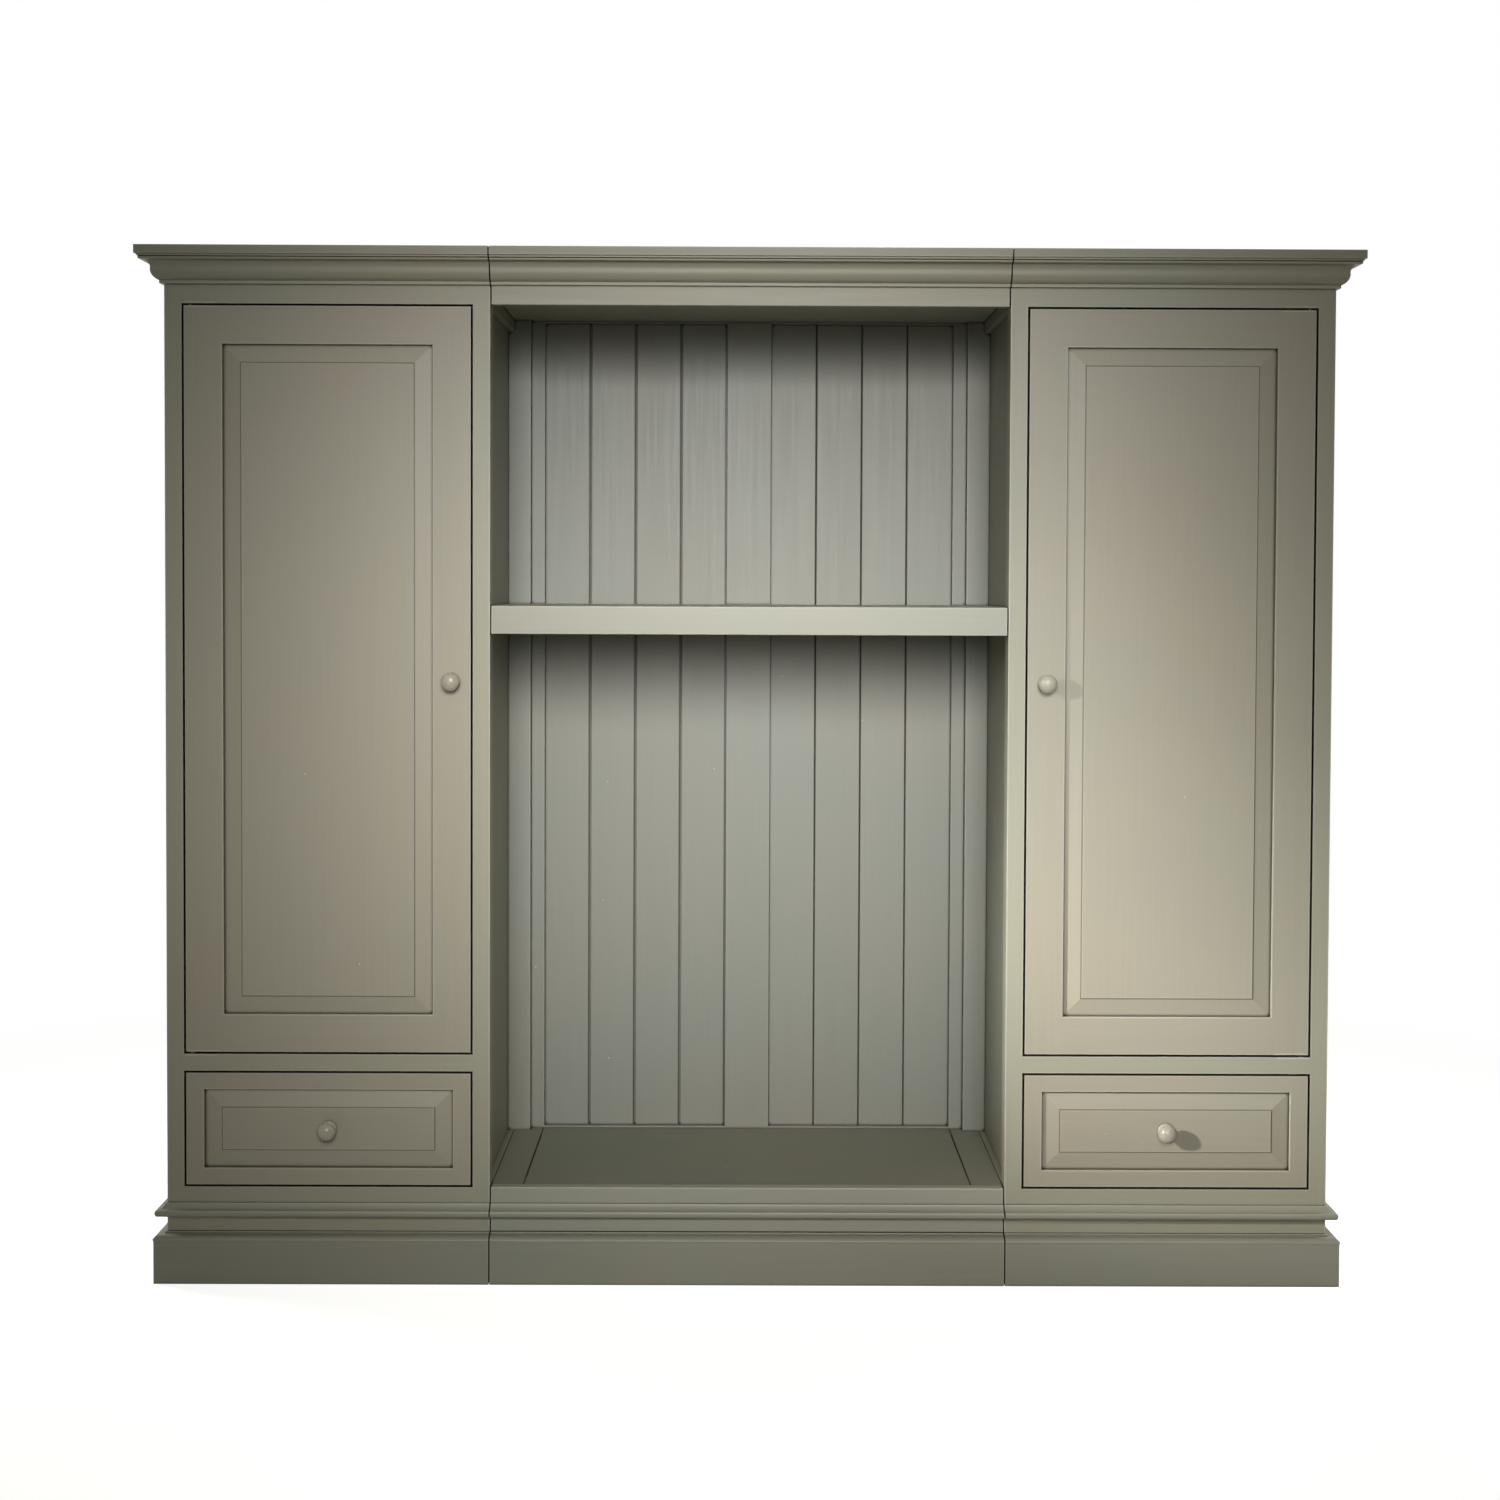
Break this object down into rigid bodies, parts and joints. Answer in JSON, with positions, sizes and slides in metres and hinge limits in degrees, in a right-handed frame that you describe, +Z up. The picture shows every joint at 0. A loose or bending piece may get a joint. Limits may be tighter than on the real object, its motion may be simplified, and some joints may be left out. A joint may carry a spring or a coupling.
{
  "type": "painted cupboard with open centre bay",
  "caption": "Tall painted wooden cupboard in three parts: a door over a drawer on each side, and an open bay with bench, shelf and boarded back between.",
  "frame": {"origin": "centre of the footprint (cornice and body), on the floor", "axes": "+Z up, front facing -Y, +X to the viewer's right"},
  "size_m": [2.345, 0.5466, 1.998],
  "materials": {
    "painted_timber": "satin sage-grey eggshell paint, brushed",
    "bare_timber": "bare planed pine",
    "brass": "plain brass pegs",
    "hinge_steel": "zinc plated steel"
  },
  "bodies": {
    "root": {"bay_plinth": "painted_timber", "bay_base_moulding": "painted_timber", "bench_front_rail": "painted_timber", "bench_bearers": "bare_timber", "bench_top": "painted_timber", "corner_posts": "painted_timber", "bay_back_frame": "painted_timber", "bay_back_boards": "painted_timber", "bay_shelf": "painted_timber", "shelf_cleats": "painted_timber", "bay_fascia": "painted_timber", "bay_ceiling": "painted_timber", "bay_cornice": "painted_timber", "connector_bolts": "hinge_steel", "left_outer_side": "painted_timber", "left_inner_side": "painted_timber", "left_face_frame": "painted_timber", "left_top_board": "painted_timber", "left_cupboard_floor": "painted_timber", "left_base_board": "bare_timber", "left_back_boards": "painted_timber", "left_shelves": "painted_timber", "left_shelf_pegs": "brass", "left_drawer_runners": "bare_timber", "left_plinth": "painted_timber", "left_base_moulding": "painted_timber", "left_cornice": "painted_timber", "left_pivot_pins": "hinge_steel", "right_outer_side": "painted_timber", "right_inner_side": "painted_timber", "right_face_frame": "painted_timber", "right_top_board": "painted_timber", "right_cupboard_floor": "painted_timber", "right_base_board": "bare_timber", "right_back_boards": "painted_timber", "right_shelves": "painted_timber", "right_shelf_pegs": "brass", "right_drawer_runners": "bare_timber", "right_plinth": "painted_timber", "right_base_moulding": "painted_timber", "right_cornice": "painted_timber", "right_pivot_pins": "hinge_steel"},
    "left_door": {"left_door_frame": "painted_timber", "left_door_panel": "painted_timber", "left_door_knob": "painted_timber", "left_pivot_sockets": "hinge_steel"},
    "right_door": {"right_door_frame": "painted_timber", "right_door_panel": "painted_timber", "right_door_knob": "painted_timber", "right_pivot_sockets": "hinge_steel"},
    "left_drawer": {"left_drawer_frame": "painted_timber", "left_drawer_panel": "painted_timber", "left_drawer_knob": "painted_timber", "left_drawer_box": "bare_timber", "left_drawer_bottom": "bare_timber"},
    "right_drawer": {"right_drawer_frame": "painted_timber", "right_drawer_panel": "painted_timber", "right_drawer_knob": "painted_timber", "right_drawer_box": "bare_timber", "right_drawer_bottom": "bare_timber"}
  },
  "joints": [
    {"name": "left_door_hinge", "type": "hinge", "parent": "root", "child": "left_door", "pos_m": [-1.077, -0.21875, 1.168], "axis": [0, 0, -1], "range_deg": [0, 110]},
    {"name": "left_drawer_slide", "type": "slide", "parent": "root", "child": "left_drawer", "axis": [0, -1, 0], "range_m": [0, 0.33]},
    {"name": "right_door_hinge", "type": "hinge", "parent": "root", "child": "right_door", "pos_m": [1.077, -0.21875, 1.168], "axis": [0, 0, 1], "range_deg": [0, 110]},
    {"name": "right_drawer_slide", "type": "slide", "parent": "root", "child": "right_drawer", "axis": [0, -1, 0], "range_m": [0, 0.33]}
  ]
}
